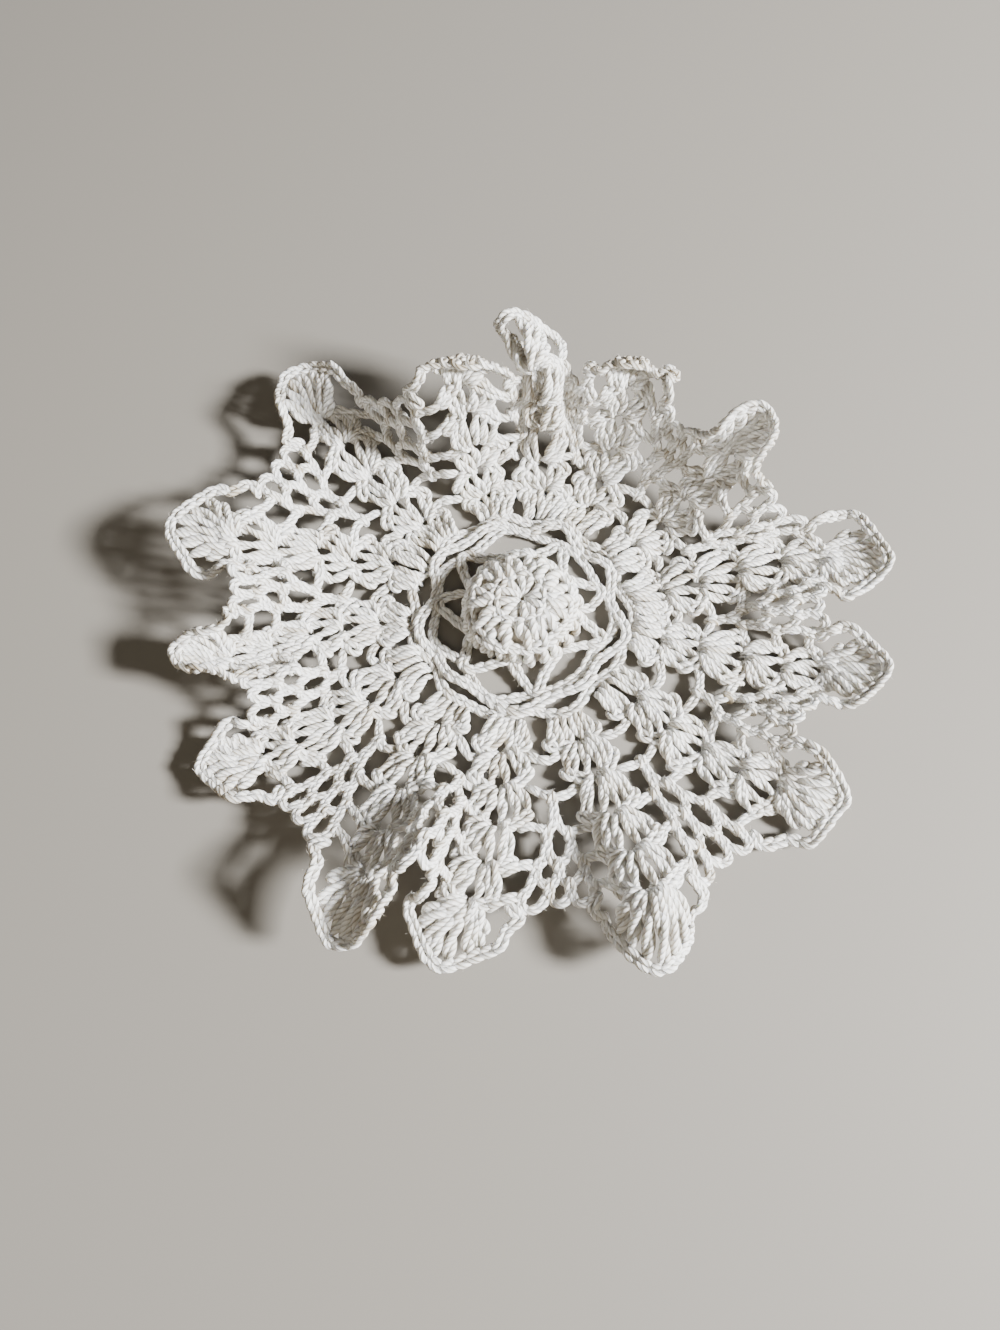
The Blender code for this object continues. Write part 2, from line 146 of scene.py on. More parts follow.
# the mesh between two rays: a cubic that leaves both edges in their own direction
def inGap(number, along, share):
    near, nearWay = onRay(number, along, np.full_like(along, lay["rayHalf"]))
    far, farWay = onRay(number + 1, along, np.full_like(along, -lay["rayHalf"]))
    reach = np.linalg.norm(far - near, axis=-1, keepdims=True)
    t = share[..., None]
    point = (2 * t**3 - 3 * t**2 + 1) * near + (t**3 - 2 * t**2 + t) * reach * nearWay
    point += (3 * t**2 - 2 * t**3) * far + (t**3 - t**2) * reach * farWay
    lift = spines[number % rayCount]["fold"] * smooth((along - lay["rounds"][1]) / lay["foldOver"])
    point[..., 2] += lift * np.sin(np.pi * share)
    return point


# turns in the pattern against true bearings, at both edges of every ray's foot
def rayEdges():
    edge = math.degrees(math.asin(lay["rayHalf"] / lay["rounds"][0]))
    numbers = range(-rayCount, 2 * rayCount)
    base = np.array([rays[n % rayCount][0] + 360 * (n // rayCount) for n in numbers])
    turns = np.array([(n - lay["rayShare"], n + lay["rayShare"]) for n in numbers]).ravel()
    return turns, np.stack([base - edge, base + edge], -1).ravel()


edgeTurns, edgeBearings = rayEdges()


# underside of the cloth at a turn (counted in rays) and a distance along, in millimetres
def lie(turn, along):
    number = np.floor(turn + 0.5).astype(int)
    off = turn - number
    angle = np.radians(np.interp(turn, edgeTurns, edgeBearings))
    points = np.stack([along * np.cos(angle), along * np.sin(angle), 0 * along], -1)
    out = along > lay["polarTo"]
    for n in np.unique(number[out]):
        pick = np.flatnonzero(out & (number == n))
        here, s = off[pick], along[pick]
        share = np.clip((np.abs(here) - lay["rayShare"]) / (1 - 2 * lay["rayShare"]), 0, 1)
        within = np.abs(here) <= lay["rayShare"]
        outer = lay["rayHalf"] + share * lay["gapWide"]
        across = np.where(within, np.abs(here) / lay["rayShare"] * lay["rayHalf"], outer)
        rayPoint, _ = onRay(n, s, across * np.sign(here))
        gapPoint = np.where((here > 0)[:, None], inGap(n, s, share), inGap(n - 1, s, 1 - share))
        byRay = np.where(within, 1.0, smooth((s - lay["rounds"][4]) / lay["fanOver"]))[:, None]
        target = byRay * rayPoint + (1 - byRay) * gapPoint
        target[:, 2] = np.maximum(target[:, 2], 0)
        mix = smooth((s - lay["polarTo"]) / (lay["raysFrom"] - lay["polarTo"]))[:, None]
        points[pick] = mix * target + (1 - mix) * points[pick]
    return points


strayWays = unit(seeded.normal(0, 1, (3, 3)))
strayPhases = seeded.uniform(0, 2 * math.pi, (3, 3))


# handwork is uneven: a point strays by the mean of three sine waves that run over the cloth
def stray(points):
    waves = points @ strayWays.T * 2 * math.pi / lay["strayOver"]
    return lay["stray"] * np.stack([np.sin(waves + phases).mean(-1) for phases in strayPhases], -1)


# place and upward side of pattern points: the side is the cross product of two small steps
def place(turn, along, height):
    turn, along, height = np.broadcast_arrays(turn, along, height)
    shape = turn.shape
    turn, along, height = (a.astype(float).ravel() for a in (turn, along, height))
    outward, aside = lay["sideStep"]
    ahead = lie(turn, along + outward) - lie(turn, along - outward)
    around = lie(turn + aside, along) - lie(turn - aside, along)
    side = unit(np.cross(ahead, around))
    points = lie(turn, along) + side * height[:, None]
    points += stray(points)
    points[:, 2] = np.maximum(points[:, 2], yarn["radius"] * yarn["clear"])
    points[:, :2] += lay["shift"]
    return points.reshape(shape + (3,)) * mm, side.reshape(shape + (3,))


# the pattern's turn beside a ray, across it in millimetres, also past its edge
def beside(number, across):
    across = np.asarray(across, float)
    size = np.abs(across)
    past = lay["rayShare"] + (size - lay["rayHalf"]) / lay["gapWide"] * (1 - 2 * lay["rayShare"])
    within = size / lay["rayHalf"] * lay["rayShare"]
    return number + np.sign(across) * np.where(size <= lay["rayHalf"], within, past)


# the pattern's turn in the mesh left of a ray, from 0 at that ray to 1 at the next
def between(number, share):
    return number + lay["rayShare"] + np.asarray(share, float) * (1 - 2 * lay["rayShare"])


# place and upward side in the middle, by true bearing, radius and height
def placeRound(bearing, radius, height):
    bearing, radius, height = np.broadcast_arrays(np.radians(bearing), radius, height)
    east = radius * np.cos(bearing) + lay["shift"][0]
    north = radius * np.sin(bearing) + lay["shift"][1]
    points = np.stack([east, north, height], -1)
    points += stray(points) * (1, 1, lay["strayHigh"])
    return points * mm, np.broadcast_to(np.array([0.0, 0.0, 1.0]), points.shape).copy()


# ---------- yarn
yarn = {
    "radius": 0.81,  # mm, in the puffy stitches
    "tight": 0.8,  # mm, in the chains
    "sides": 8,
    "uneven": 0.06,  # how much the thickness wanders
    "clear": 1.02,  # height of the lowest strands' middle line over the floor, in radii
    "tipSizes": (0.45, 0.8, 1, 1, 0.5),  # of the first three rings and the last two, where a yarn ends
    "crown": 1.5,  # painted highlight and shade: how much lighter the upward side of a strand is painted than its flanks, as though lit from above with its flanks in shade
    "crownFrom": 0.6,  # sine of the angle round a strand where the painted highlight turns to painted shade
    "plies": 4,
    "plyTurn": 7.0,  # mm for one turn of the plies
    "colour": (0.885, 0.878, 0.85),
    # painted shade: the creamy dark colour of the grooves between plies, of the strands' flanks and of the
    # rosette's body
    "shade": (0.36, 0.30, 0.21),
}


grown = []  # points of all the yarn with their outward ways, for the fuzz


# skin of many yarns at once: rings round the lines, square to them, joined by quads
def skin(lines, sides, closed, radius):
    n, k, _ = lines.shape
    if closed:
        way = unit(np.roll(lines, -1, 1) - np.roll(lines, 1, 1))
        steps = np.linalg.norm(np.roll(lines, -1, 1) - lines, axis=-1)
    else:
        way = unit(np.gradient(lines, axis=1))
        steps = np.linalg.norm(np.diff(lines, axis=1, append=lines[:, -1:]), axis=-1)
    across = unit(np.cross(way, sides))
    over = np.cross(across, way)
    count = yarn["sides"]
    angle = np.arange(count) * 2 * math.pi / count
    wave = seeded.uniform(0, 2 * math.pi, (n, 3, 1))
    share = np.arange(k) / k
    wander = sum(np.sin(2 * math.pi * (j + 1) * share + wave[:, j]) for j in range(3)) / 3
    size = np.broadcast_to(radius * mm, (n, k)) * (1 + yarn["uneven"] * wander)
    if not closed:
        size = size * np.interp(np.arange(k), (0, 1, 2, k - 2, k - 1), yarn["tipSizes"])
    ring = across[:, :, None] * np.cos(angle)[:, None] + over[:, :, None] * np.sin(angle)[:, None]
    points = lines[:, :, None] + ring * size[:, :, None, None]
    grown.append((points.reshape(-1, 3), ring.reshape(-1, 3)))
    rows = k if closed else k - 1
    index = np.arange(n * k * count).reshape(n, k, count)
    nextRow = np.roll(index, -1, 1)
    quads = np.stack([index, np.roll(index, -1, 2), np.roll(nextRow, -1, 2), nextRow], -1)[:, :rows]
    start = np.concatenate([np.zeros((n, 1)), np.cumsum(steps, 1)[:, :-1]], 1)
    start = start + seeded.uniform(0, 1, (n, 1))
    low = np.broadcast_to(start[:, :rows, None], (n, rows, count))
    high = low + steps[:, :rows, None]
    left = np.broadcast_to(np.arange(count) / count, (n, rows, count))
    right = left + 1 / count
    corners = ((low, left), (low, right), (high, right), (high, left))
    uv = np.stack([np.stack(corner, -1) for corner in corners], -2)
    quads, uv = quads.reshape(-1, 4), uv.reshape(-1, 2)
    if not closed:  # three quads close each end
        lids = np.array([(0, 1, 2, 3), (0, 3, 4, 7), (4, 5, 6, 7)])
        bottom, top = index[:, 0][:, lids[:, ::-1]], index[:, -1][:, lids]
        ends = np.concatenate([bottom.reshape(-1, 4), top.reshape(-1, 4)])
        quads, uv = np.concatenate([quads, ends]), np.concatenate([uv, np.zeros((len(ends) * 4, 2))])
    # painted highlight on each strand's upward side and painted shade on its flanks, added to a random tone
    # for each strand
    crown = yarn["crown"] * (np.sin(angle) - yarn["crownFrom"])
    toneAndShade = np.broadcast_to(seeded.normal(0, 1, (n, 1, 1)) + crown, (n, k, count))
    return points.reshape(-1, 3), quads, uv, toneAndShade.ravel()


# one mesh object from several skins
def pieceOf(name, skins, material):
    offsets = np.cumsum([0] + [len(s[0]) for s in skins])
    points = np.concatenate([s[0] for s in skins])
    quads = np.concatenate([s[1] + offset for s, offset in zip(skins, offsets)])
    mesh = bpy.data.meshes.new(name)
    mesh.vertices.add(len(points))
    mesh.vertices.foreach_set("co", points.astype(np.float32).ravel())
    mesh.loops.add(quads.size)
    mesh.loops.foreach_set("vertex_index", quads.astype(np.int32).ravel())
    mesh.polygons.add(len(quads))
    mesh.polygons.foreach_set("loop_start", np.arange(0, quads.size, 4, dtype=np.int32))
    mesh.update(calc_edges=True)
    uv = np.concatenate([s[2] for s in skins])
    mesh.uv_layers.new(name="yarn").data.foreach_set("uv", uv.astype(np.float32).ravel())
    # per-point tone: a random tone for each strand, with painted highlight and painted shade added
    toneAndShade = mesh.attributes.new("toneAndShade", "FLOAT", "POINT")
    toneAndShade.data.foreach_set("value", np.concatenate([s[3] for s in skins]).astype(np.float32))
    mesh.shade_smooth()
    mesh.materials.append(material)
    piece = bpy.data.objects.new(name, mesh)
    bpy.context.scene.collection.objects.link(piece)
    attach(piece, "root")
    print(name, "triangles", 2 * len(quads))
    return piece


# ---------- the yarn's material
look = {
    "plyRound": 0.6,  # power of the ply wave: under 1, so that the plies are round and the grooves narrow
    "fibres": (260.0, 26.0, 4.0),  # waves a metre along the yarn, waves round it, octaves
    "cloud": (38.0, 3.0),  # waves a metre, octaves
    "toneAndShade": {"plies": 0.55, "fibres": 0.32, "cloud": 0.35, "strand": 0.13},  # share of each in the colour: the plies paint shade into their grooves, the fibres and the cloud are the yarn's own uneven tone, and the strand share carries each strand's tone with its painted highlight and shade
    "toneEnds": (0.15, 0.9),  # where the shade ends and the full colour starts
    "bump": {"plies": 0.75, "fibres": 0.45, "high": 0.0004},  # share of each, and metres
    "surface": {
        "Roughness": 0.82,
        "Sheen Weight": 0.12,
        "Sheen Roughness": 0.45,
        "Specular IOR Level": 0.25,
        "Subsurface Weight": 0.2,
        "Subsurface Radius": (1.0, 0.85, 0.6),
        "Subsurface Scale": 0.0018,
    },
}


def link(tree, fromSocket, toSocket):
    tree.links.new(fromSocket, toSocket)


# a math node on two sockets or numbers, and its result
def mathNode(tree, operation, first, second=None, clamp=False):
    node = tree.nodes.new("ShaderNodeMath")
    node.operation = operation
    node.use_clamp = clamp
    for socket, value in zip(node.inputs, (first, second)):
        if value is None:
            continue
        if isinstance(value, (int, float)):
            socket.default_value = value
        else:
            link(tree, value, socket)
    return node.outputs[0]


def noiseNode(tree, vector, scale, octaves):
    noise = tree.nodes.new("ShaderNodeTexNoise")
    noise.inputs["Scale"].default_value = scale
    noise.inputs["Detail"].default_value = octaves
    link(tree, vector, noise.inputs["Vector"])
    return noise.outputs[0]


# plies: |sin(pi plies (v + u / plyTurn))| to the power plyRound, round and along the yarn
# fibres: noise drawn out along the plies
def yarnMaterial():
    material = bpy.data.materials.new("crochet yarn")
    material.use_nodes = True
    tree = material.node_tree
    shader = tree.nodes["Principled BSDF"]
    uv = tree.nodes.new("ShaderNodeUVMap")
    uv.uv_map = "yarn"
    split = tree.nodes.new("ShaderNodeSeparateXYZ")
    link(tree, uv.outputs[0], split.inputs[0])
    turns = mathNode(tree, "MULTIPLY", split.outputs[0], 1 / (yarn["plyTurn"] * mm))
    twist = mathNode(tree, "ADD", split.outputs[1], turns)
    wave = mathNode(tree, "MULTIPLY", twist, yarn["plies"] * math.pi)
    ridges = mathNode(tree, "ABSOLUTE", mathNode(tree, "SINE", wave))
    plies = mathNode(tree, "POWER", ridges, look["plyRound"])

    lengthwise, around, octaves = look["fibres"]
    coords = tree.nodes.new("ShaderNodeCombineXYZ")
    link(tree, mathNode(tree, "MULTIPLY", split.outputs[0], lengthwise), coords.inputs[0])
    link(tree, mathNode(tree, "MULTIPLY", twist, around), coords.inputs[1])
    fibres = noiseNode(tree, coords.outputs[0], 1.0, octaves)

    where = tree.nodes.new("ShaderNodeTexCoord")
    cloud = noiseNode(tree, where.outputs["Object"], *look["cloud"])
    toneAndShade = tree.nodes.new("ShaderNodeAttribute")
    toneAndShade.attribute_name = "toneAndShade"

    # painted highlight and shade: lighter in the crowns of the plies, darker and creamier in the grooves
    # between them as though shade fell there, with the fibres' and the cloud's own tone and each strand's
    # tone added
    shadeMix = mathNode(tree, "MULTIPLY", plies, look["toneAndShade"]["plies"])
    shadeMix = mathNode(tree, "ADD", shadeMix, mathNode(tree, "MULTIPLY", fibres, look["toneAndShade"]["fibres"]))
    shadeMix = mathNode(tree, "ADD", shadeMix, mathNode(tree, "MULTIPLY", cloud, look["toneAndShade"]["cloud"]))
    strand = mathNode(tree, "MULTIPLY", toneAndShade.outputs["Fac"], look["toneAndShade"]["strand"])
    shadeMix = mathNode(tree, "ADD", shadeMix, strand, True)
    ramp = tree.nodes.new("ShaderNodeValToRGB")
    colours = (yarn["shade"], yarn["colour"])
    for end, position, colour in zip(ramp.color_ramp.elements, look["toneEnds"], colours):
        end.position = position
        end.color = (*colour, 1)
    link(tree, shadeMix, ramp.inputs[0])
    link(tree, ramp.outputs[0], shader.inputs["Base Color"])
    for socket, value in look["surface"].items():
        shader.inputs[socket].default_value = value

    plyHeight = mathNode(tree, "MULTIPLY", plies, look["bump"]["plies"])
    fibreHeight = mathNode(tree, "MULTIPLY", fibres, look["bump"]["fibres"])
    height = mathNode(tree, "ADD", plyHeight, fibreHeight)
    bump = tree.nodes.new("ShaderNodeBump")
    bump.inputs["Strength"].default_value = 1.0
    bump.inputs["Distance"].default_value = look["bump"]["high"]
    link(tree, height, bump.inputs["Height"])
    link(tree, bump.outputs[0], shader.inputs["Normal"])
    return material


yarnLook = yarnMaterial()

# ---------- chains: nested loops of yarn along a line
chain = {
    "pitch": 4.0,  # mm from stitch to stitch
    "half": 0.56,  # mm from the middle to a leg's own middle
    "deep": 0.5,  # mm up at a loop's legs and down at its two ends
    "narrow": 0.45,  # how much narrower a loop is towards its foot, and wider towards its head
    "along": (0.66, 0.71),  # middle of a loop and half its length, in stitches
    "points": 16,
    "uneven": 0.12,
    "unevenHigh": 0.1,  # mm
}


# one loop: half sin(p) (1 - narrow cos(p)) across, middle - length cos(p) stitches along, -deep cos(2 p) up
def chainLoops(line, side, half=None, deep=None, pitch=None):
    half, deep, pitch = half or chain["half"], deep or chain["deep"], pitch or chain["pitch"]
    length = np.concatenate([[0], np.cumsum(np.linalg.norm(np.diff(line, axis=0), axis=1))])
    count = max(1, int(round(length[-1] / (pitch * mm))))
    p = np.arange(chain["points"]) * 2 * math.pi / chain["points"]
    midway, reach = chain["along"]
    along = (np.arange(count)[:, None] + midway - reach * np.cos(p)) / count * length[-1]
    swell = 1 + chain["uneven"] * seeded.normal(0, 1, (count, 1))
    across = half * mm * np.sin(p) * (1 - chain["narrow"] * np.cos(p)) * swell
    over = -deep * mm * np.cos(2 * p) + chain["unevenHigh"] * mm * seeded.normal(0, 1, (count, 1))
    inner = np.clip(along, 0, length[-1])
    middle = np.stack([np.interp(inner, length, line[:, k]) for k in range(3)], -1)
    up = unit(np.stack([np.interp(inner, length, side[:, k]) for k in range(3)], -1))
    way = unit(np.gradient(line, axis=0))
    way = unit(np.stack([np.interp(inner, length, way[:, k]) for k in range(3)], -1))
    middle = middle + way * (along - inner)[..., None]
    left = unit(np.cross(up, way))
    up = np.cross(way, left)
    return middle + left * across[..., None] + up * over[..., None], up


# the skin of all the chains along some lines, each given as (points, upward sides)
def chainSkins(lines, radius=yarn["tight"], **sizes):
    loops = [chainLoops(line, side, **sizes) for line, side in lines]
    points = np.concatenate([l[0] for l in loops])
    up = np.concatenate([l[1] for l in loops])
    points[..., 2] = np.maximum(points[..., 2], radius * mm * yarn["clear"])
    return skin(points, up, True, radius)


# ---------- posts: two strands twisted round each other along a line
post = {
    "apart": 0.68,  # mm, from the line to each strand
    "strands": 2,
    "turns": 0.95,
    "flat": 0.8,  # height of the twist against its width
    "closeAt": (0, 0.2, 0.85, 1),  # along the post
    "close": (0.55, 1, 1, 0.7),  # how far apart the strands are there, against apart
    "phase": 0.5,  # radians, how much the twist's start differs from post to post
    "points": 11,
    "uneven": 0.22,  # mm
}


# strands at apart cos(a) left and flat apart sin(a) up, where a grows along the post
def postSkins(
    lines,
    sides,
    turns=post["turns"],
    apart=post["apart"],
    radius=yarn["radius"],
    strands=post["strands"],
):
    n, k, _ = lines.shape
    way = unit(np.gradient(lines, axis=1))
    left = unit(np.cross(sides, way))
    up = np.cross(way, left)
    t = np.linspace(0, 1, k)
    phase = seeded.uniform(-post["phase"], post["phase"], (n, 1)) + 2 * math.pi * turns * t
    close = np.interp(t, post["closeAt"], post["close"]) * apart * mm
    shift = seeded.normal(0, 1, (n, 1, 2)) * post["uneven"] * mm * np.sin(math.pi * t)[:, None]
    body = lines + left * shift[..., :1] + up * shift[..., 1:]
    skins = []
    for strand in range(strands):
        a = phase + 2 * math.pi * strand / strands
        aside, above = np.cos(a) * close, post["flat"] * np.sin(a) * close
        line = body + left * aside[..., None] + up * above[..., None]
        line[..., 2] = np.maximum(line[..., 2], radius * mm * yarn["clear"])
        skins.append(skin(line, up, False, radius))
    return skins


# ---------- shells: three posts, a chain and three posts, each shell worked in the one before
shell = {
    # half a shell from the edge inward: foot along, across; bend along, across; top along, across
    "posts": (
        (-0.2, 1.3, 2.2, 6.2, 9.0, 7.3),
        (0.3, 1.0, 4.8, 4.5, 11.2, 5.3),
        (0.8, 0.5, 6.4, 1.0, 12.7, 2.7),
    ),
    "pitch": 12.0,  # that the table is drawn for
    "firstFeet": (5.3, 3.3, 1.2),  # across, of the first shell's posts on the rings
    "firstFrom": 32.2,
    "firstBend": (37.5, (6.2, 3.7, 0.9)),  # along, and across for each post
    "heightsAt": (0, 0.16, 0.6, 1),  # along a post
    "heights": (1.0, 2.9, 2.5, 1.7),
    "braid": ((0.9, 1.9), (0.3, 4.2), (-1.7, 6.3), (-3.4, 7.7)),  # along, across
    "braidHigh": 2.0,
    "braidChain": {"half": 0.95, "pitch": 3.4, "radius": 0.88},
    "uneven": 0.3,  # mm
}


# posts bent as curves of the second degree: foot (1-t)^2 + 2 bend t (1-t) + top t^2
def postLines(number, rows, heights):
    t = np.linspace(0, 1, post["points"])
    rows = (np.array(rows) + seeded.normal(0, shell["uneven"], (len(rows), 6)))[:, :, None]
    foot, bend, top = (1 - t) ** 2, 2 * t * (1 - t), t**2
    along, across = (foot * rows[:, k] + bend * rows[:, k + 2] + top * rows[:, k + 4] for k in (0, 1))
    return place(beside(number, across), along, np.interp(t, shell["heightsAt"], heights))


# the rows and their mirror images
def bothSides(rows):
    rows = np.array(rows)
    return np.concatenate([rows, rows * (1, -1, 1, -1, 1, -1)])


# every ray's shells: the first stands on the rings, and each next one starts at the last one's top
def buildShells():
    made = []
    for n in range(rayCount):
        for k, top in enumerate(lay["rounds"]):
            start = lay["rounds"][k - 1] if k else top - shell["pitch"]
            scale = (top - start) / shell["pitch"]
            rows = np.array(shell["posts"]) * (scale, 1, scale, 1, scale, 1) + (start, 0, start, 0, start, 0)
            if k == 0:
                rows[:, 0], rows[:, 1] = shell["firstFrom"], shell["firstFeet"]
                rows[:, 2], rows[:, 3] = shell["firstBend"]
            made.append(postLines(n, bothSides(rows), shell["heights"]))
    return tuple(np.concatenate(part) for part in zip(*made))


# ---------- fans: four posts, a small chain and four posts in the last shell, with a chain round them
fan = {
    # half a fan from the edge inward: foot along, across; bend along, across; top along, across
    "posts": (
        (88.1, 1.5, 91.2, 5.4, 96.2, 9.2),
        (88.5, 1.2, 92.8, 5.0, 100.2, 8.9),
        (89.0, 0.8, 94.8, 3.5, 103.5, 5.6),
        (89.5, 0.4, 96.0, 1.2, 105.6, 1.9),
    ),
    "heights": (1.0, 2.4, 2.1, 1.7),
    "twist": {"turns": 1.2, "apart": 0.86, "radius": 1.0},
    # half the chain round the fan, from the mesh to the tip: along, across
    "edging": (
        (86.4, 10.8),
        (89.2, 12.6),
        (92.4, 13.4),
        (95.6, 13.6),
        (98.2, 12.9),
        (101.2, 9.6),
        (104.2, 5.6),
        (106.2, 2.2),
        (106.7, 0.0),
    ),
    "edgingHigh": 1.9,
    "edgingChain": {"half": 0.88, "pitch": 3.6, "radius": 0.86},
}


# a fan at every ray's end, the same on both hands
def buildFans():
    made = [postLines(n, bothSides(fan["posts"]), fan["heights"]) for n in range(rayCount)]
    return tuple(np.concatenate(part) for part in zip(*made))


# smooth open curve through points, by Catmull-Rom
def curveThrough(points, count):
    points = np.array(points, float)
    padded = np.concatenate([2 * points[:1] - points[1:2], points, 2 * points[-1:] - points[-2:-1]])
    at = np.linspace(0, len(points) - 1.0001, count)
    i = at.astype(int)
    t = (at - i)[:, None]
    a, b, c, d = (padded[i + j] for j in range(4))
    square, cube = 2 * a - 5 * b + 4 * c - d, 3 * b - a - 3 * c + d
    return 0.5 * (2 * b + (c - a) * t + square * t**2 + cube * t**3)


# half the chain and its mirror image, as one curve round every fan
def edgingLines():
    half = np.array(fan["edging"])
    whole = np.concatenate([half * (1, -1), half[-2::-1]])
    curve = curveThrough(whole, 60)
    lines = []
    for n in range(rayCount):
        lines.append(place(beside(n, curve[:, 1]), curve[:, 0], fan["edgingHigh"]))
    return lines


# the tops of half a shell's posts: a short braid that slants back to the ray's edge
def braidLines():
    lines = []
    half = curveThrough(shell["braid"], 12)
    for n in range(rayCount):
        for top in lay["rounds"]:
            for hand in (-1, 1):
                lines.append(place(beside(n, hand * half[:, 1]), top + half[:, 0], shell["braidHigh"]))
    return lines


# ---------- the mesh between the rays: rows of chain loops, one more in each row
net = {
    # height along of each row, at the rays and midway
    "rows": {
        1: (44.0, 45.0),
        2: (54.5, 55.5),
        3: (66.0, 64.0),
        4: (78.0, 72.0),
        5: (89.0, 79.0),
        6: (94.0, 86.0),
    },
    "lastRow": 6,
    "outer": (1, 2, 3),  # loops of the last row that lie between the fans' ears
    "overlap": 0.04,  # of the gap's width, by which a bar runs on into both rays
    "hook": (0.05, 6),  # the same for a loop's outer foot, and how late it turns
    "high": 1.5,
    "bob": 0.5,  # mm, a loop's middle above its feet
    "knotHigh": 1.7,
    # mm, and belly is a share of the lean
    "knot": {"half": 1.45, "high": 1.05, "lean": 0.55, "belly": 0.7, "points": 10},
}


# a row bends between its two heights: midway + (at the rays - midway) (2 t - 1)^2
def rowHeight(row, share):
    atRays, midway = net["rows"][row]
    return midway + (atRays - midway) * (2 * share - 1) ** 2


# a loop rises by cosine from its feet to its crown and leans over by 1 - cosine
def loopLine(row, loop, count=19):
    loops = max(row - 1, 1)
    if row <= 2:
        share = np.linspace(-net["overlap"], 1 + net["overlap"], count)
        return rowHeight(row, np.clip(share, 0, 1)), share
    start, end = loop / loops, (loop + 1) / loops
    crown = (loop + 0.5) / loops if row == net["lastRow"] else (loop + 1) / row
    low = rowHeight(row if loop == 0 else row - 1, start)
    high = rowHeight(row if loop == loops - 1 else row - 1, end)
    part = np.linspace(-1, 1, count)
    foot, base = np.where(part < 0, start, end), np.where(part < 0, low, high)
    bow = 1 - np.cos(math.pi / 2 * (1 - np.abs(part)))
    along = base + (rowHeight(row, crown) - base) * np.cos(math.pi / 2 * part)
    share = foot + (crown - foot) * bow
    reach = net["hook"][0] * np.abs(part) ** net["hook"][1]
    inward = -reach * (loop == 0)
    outward = reach * (loop == loops - 1) * (part > 0)
    return along, share + np.where(share <= start + 1e-6, inward, outward)


# every loop of every gap, its middle raised by a sine over its feet
def netLines():
    lines = []
    for n in range(rayCount):
        for row in net["rows"]:
            for loop in range(max(row - 1, 1)) if row < net["lastRow"] else net["outer"]:
                along, share = loopLine(row, loop)
                bob = net["bob"] * np.sin(np.linspace(0, math.pi, len(along)))
                lines.append(place(between(n, share), along, net["high"] + bob))
    return lines


# small loops of yarn that hold a chain to the one before, [knots, points, 3]
def knotLoops():
    turns, alongs = [], []
    for n in range(rayCount):
        for row in range(2, net["lastRow"]):
            crowns = [0.5] if row == 2 else [(j + 1) / row for j in range(row - 1)]
            for crown in crowns:
                turns.append(between(n, crown))
                alongs.append(rowHeight(row, crown))
    middle, up = place(np.array(turns), np.array(alongs), net["knotHigh"])
    ahead, _ = place(np.array(turns), np.array(alongs) + 1, net["knotHigh"])
    way = unit(ahead - middle)
    left = unit(np.cross(up, way))
    knot = net["knot"]
    p = np.arange(knot["points"]) * 2 * math.pi / knot["points"]
    loops = []
    for lean in (-knot["lean"], knot["lean"]):
        ring = way[:, None] * (knot["half"] * mm * np.cos(p))[:, None]
        ring = ring + up[:, None] * (knot["high"] * mm * np.sin(p))[:, None]
        aside = lean * mm * (1 + knot["belly"] * np.cos(p))
        loops.append(middle[:, None] + ring + left[:, None] * aside[:, None])
    loops = np.concatenate(loops)
    loops[..., 2] = np.maximum(loops[..., 2], yarn["tight"] * mm * yarn["clear"])
    sides = np.repeat(np.concatenate([left, left])[:, None], len(p), 1)
    return loops, sides


